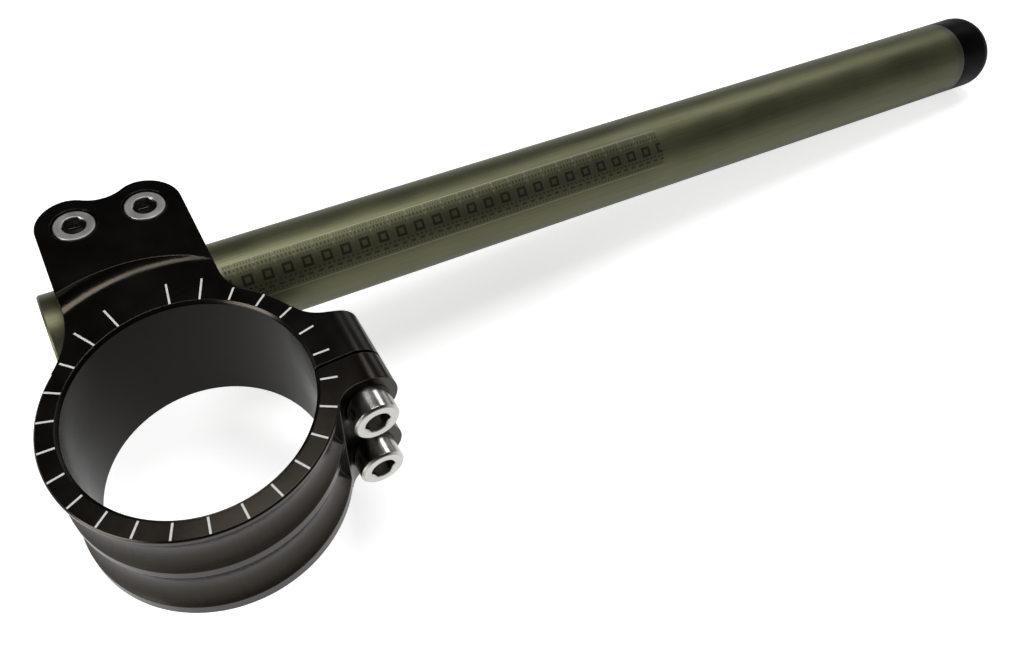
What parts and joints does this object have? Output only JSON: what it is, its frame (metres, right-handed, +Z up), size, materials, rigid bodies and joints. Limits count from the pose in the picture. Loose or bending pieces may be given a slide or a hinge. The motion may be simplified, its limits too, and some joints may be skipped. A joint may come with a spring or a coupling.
{
  "type": "clip-on handlebar",
  "caption": "Motorcycle clip-on bar: a split clamp ring for the fork tube with a bar socket, pinch screws, and a drooping hollow bar closed by an end plug.",
  "frame": {"origin": "on the fork tube's axis, halfway up the clamp ring", "axes": "+Z up the fork tube, +X towards the grip end as seen from above, +Y from the fork tube towards the bar"},
  "size_m": [0.3011, 0.0937, 0.0535],
  "materials": {
    "clamp_black": "satin black anodised, turned and milled",
    "bar_olive": "satin olive hard-anodised",
    "plug_black": "smooth black moulding",
    "screw_steel": "bright stainless"
  },
  "bodies": {
    "root": {"clamp": "clamp_black", "bar_tube": "bar_olive", "end_plug": "plug_black", "pinch_screw_upper": "screw_steel", "pinch_screw_lower": "screw_steel", "bar_screw_inner": "screw_steel", "bar_screw_outer": "screw_steel"}
  },
  "joints": []
}
